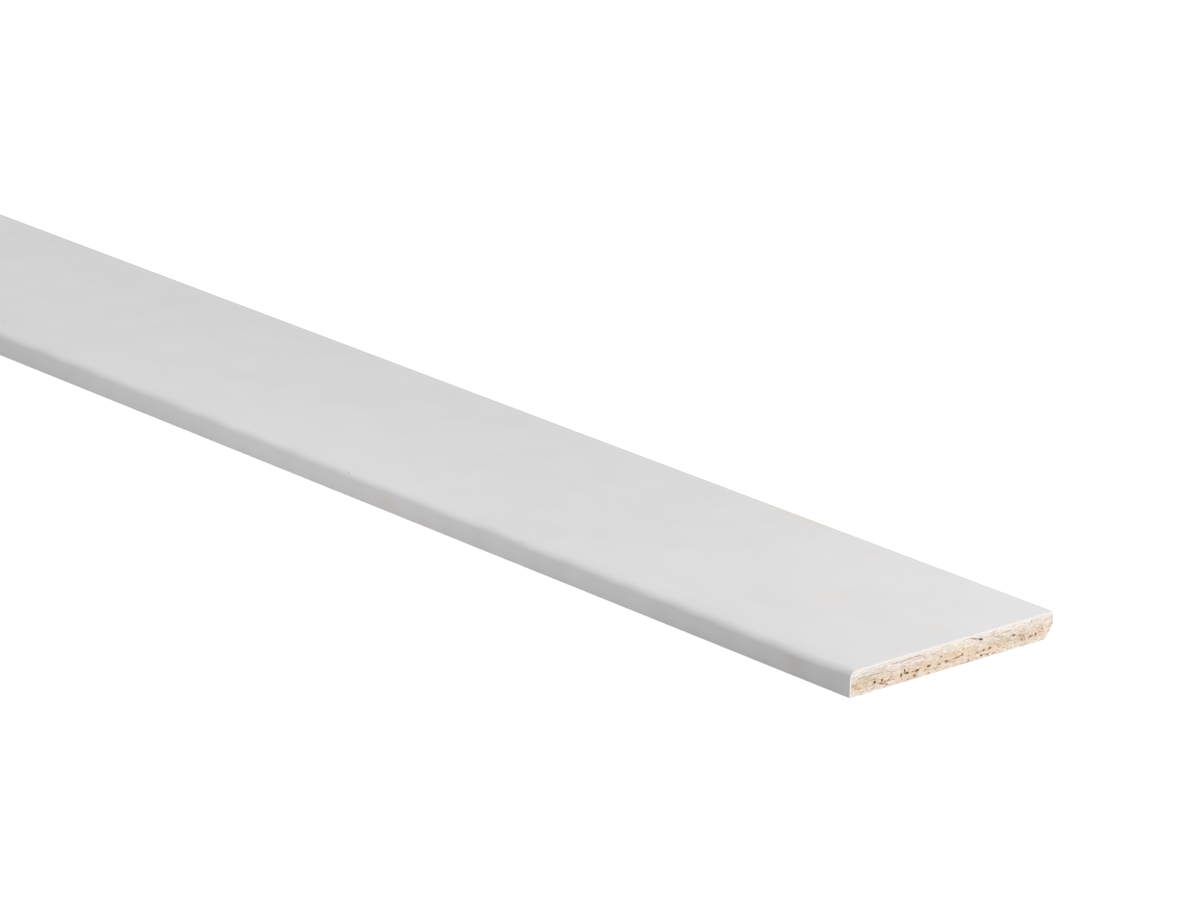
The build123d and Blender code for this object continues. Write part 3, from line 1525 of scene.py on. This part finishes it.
def finished_piece(name: str, bm: bmesh.types.BMesh, smooth_deg: float) -> bpy.types.Object:
    """Turns a bmesh into an object of the scene, shaded smooth but for its sharp edges.

    Args:
        name: The object's name.
        bm: The mesh, which is freed.
        smooth_deg: The angle between faces, above which their edge is sharp.

    Returns:
        The object, at the origin.
    """
    mesh = bpy.data.meshes.new(name)
    bm.to_mesh(mesh)
    bm.free()
    mesh.polygons.foreach_set("use_smooth", [True] * len(mesh.polygons))
    mesh.set_sharp_from_angle(angle=math.radians(smooth_deg))
    made = bpy.data.objects.new(name, mesh)
    bpy.context.scene.collection.objects.link(made)
    return made


@dataclass(frozen=True)
class Softbox:
    """A square studio lamp."""

    name: str
    place: Point3
    target: Point3
    size: float
    power: float

    def mirrored(self) -> "Softbox":
        """Gives the same lamp over the other half of the board."""
        turned = [(-spot[0], *spot[1:]) for spot in (self.place, self.target)]
        return Softbox(self.name + "_left", *turned, self.size, self.power)

    def build(self) -> None:
        """Hangs the lamp in the scene."""
        lamp = bpy.data.lights.new(self.name, "AREA")
        lamp.shape = "SQUARE"
        lamp.size = self.size
        lamp.energy = self.power
        holder = bpy.data.objects.new(self.name, lamp)
        holder.location = self.place
        way = Vector(self.target) - Vector(self.place)
        holder.rotation_euler = way.to_track_quat("-Z", "Y").to_euler()
        holder.visible_camera = False
        bpy.context.scene.collection.objects.link(holder)


@dataclass(frozen=True)
class Studio:
    """A pale floor, an even white room and soft lamps, the same over both halves of the board."""

    floor_size: float = 60.0
    floor_drop: float = 0.2 * MM
    floor_grey: float = 0.45
    floor_lift: float = 0.85
    floor_smooth_deg: float = 30
    room_light: float = 0.395
    lamps: tuple[Softbox, ...] = (
        Softbox("lamp_end", (2.43, 0.15, 0.71), (1.2, 0.0, 0.0), 0.5, 15.8),
        Softbox("lamp_near", (0.95, -0.3, 0.16), (0.95, 0.0, 0.0), 0.25, 0.235),
        Softbox("lamp_front", (0.6, -0.5, 0.25), (0.6, 0.0, 0.0), 0.35, 0.21),
        Softbox("lamp_back", (0.6, 0.7, 0.14), (0.6, 0.0, 0.0), 0.3, 0.7),
        Softbox("lamp_top", (0.35, 0.1, 0.8), (0.35, 0.0, 0.0), 0.6, 0.51),
    )

    def build(self) -> None:
        """Sets up the room, the floor, the lamps and the plain colour view."""
        bpy.context.scene.view_settings.view_transform = "Standard"
        self.build_room()
        self.build_floor()
        for lamp in self.lamps:
            lamp.build()
            lamp.mirrored().build()

    @staticmethod
    def seen_directly(bench: NodeBench) -> Socket:
        """Gives 1 for what the camera sees, straight or through gloss or glass, and 0 for light.

        Args:
            bench: The tree to add the nodes to.

        Returns:
            The mask.
        """
        path = bench.add("LightPath").outputs
        gloss = bench.maths("MAXIMUM", path["Is Glossy Ray"], path["Is Transmission Ray"])
        return bench.maths("MAXIMUM", path["Is Camera Ray"], gloss)

    def build_room(self) -> None:
        """Makes the room: white to look at, with an even light."""
        world = bpy.data.worlds.new("white_room")
        world.use_nodes = True
        bench = NodeBench(world.node_tree)
        white = (1.0, 1.0, 1.0, 1.0)
        light = bench.add("Background", {"Color": white, "Strength": self.room_light}).outputs[0]
        shown = bench.add("Background", {"Color": white, "Strength": 1.0}).outputs[0]
        mixed = bench.add("MixShader", {0: self.seen_directly(bench), 1: light, 2: shown})
        bench.add("OutputWorld", {"Surface": mixed.outputs[0]})
        bpy.context.scene.world = world

    def build_floor(self) -> None:
        """Makes the floor, which looks white and keeps the board's shadow."""
        bm = bmesh.new()
        bmesh.ops.create_grid(bm, x_segments=1, y_segments=1, size=self.floor_size / 2)
        bmesh.ops.translate(bm, verts=bm.verts, vec=(0, 0, -self.floor_drop))
        floor = finished_piece("studio_floor", bm, self.floor_smooth_deg)
        made, bench = NodeBench.for_material("pale_floor")
        bench.finish_surface(
            {
                "Base Color": (self.floor_grey, self.floor_grey, self.floor_grey, 1.0),
                "Roughness": 1.0,
                "Specular IOR Level": 0.0,
                "Emission Color": (1.0, 1.0, 1.0, 1.0),
                "Emission Strength": bench.maths("MULTIPLY", self.seen_directly(bench), self.floor_lift),
            }
        )
        floor.data.materials.append(made)


@dataclass(frozen=True)
class PhotoCamera:
    """The camera, as fitted to the board's corners in the photograph."""

    azimuth: float = math.radians(48.508)
    elevation: float = math.radians(18.544)
    roll: float = math.radians(1.081)
    distance: float = 1.99668
    aside: float = -0.11358
    rise: float = 0.0653
    focal_pixels: float = 6283.8
    image_width: int = 1190
    sensor_width: float = 36.0
    nearest: float = 0.05
    farthest: float = 100.0

    def build(self, section: BoardSection) -> None:
        """Sets up the camera, placed from the middle of the board's right end.

        Args:
            section: The board's sizes.
        """
        level = math.cos(self.elevation)
        east, south = math.sin(self.azimuth) * level, math.cos(self.azimuth) * level
        back = Vector((east, -south, math.sin(self.elevation)))
        right = Vector((math.cos(self.azimuth), math.sin(self.azimuth), 0.0))
        up = back.cross(right)
        turned_right = right * math.cos(self.roll) + up * math.sin(self.roll)
        turned_up = up * math.cos(self.roll) - right * math.sin(self.roll)
        place = Vector((section.half_length, 0.0, 0.0)) + back * self.distance
        place += turned_right * self.aside + turned_up * self.rise
        turn = Matrix((turned_right, turned_up, back)).transposed()
        lens = bpy.data.cameras.new("photo_camera")
        lens.sensor_width = self.sensor_width
        lens.lens = self.focal_pixels / self.image_width * self.sensor_width
        lens.clip_start = self.nearest
        lens.clip_end = self.farthest
        camera = bpy.data.objects.new("photo_camera", lens)
        camera.matrix_world = Matrix.Translation(place) @ turn.to_4x4()
        bpy.context.scene.collection.objects.link(camera)
        bpy.context.scene.camera = camera


def main() -> None:
    """Builds the studio, the camera and the board's pieces, and reports each piece."""
    logging.basicConfig(level=logging.INFO, format="%(name)s: %(message)s")
    section = BoardSection.from_frame()
    Studio().build()
    PhotoCamera().build(section)
    effects = SurfaceEffects()
    for part in (ChipboardCore(section), FilmWrap(section)):
        piece = part.build()
        part.dress(piece, effects)
        LOG.info("%s has %d faces", piece.name, len(piece.data.polygons))


if __name__ == "__main__":
    main()
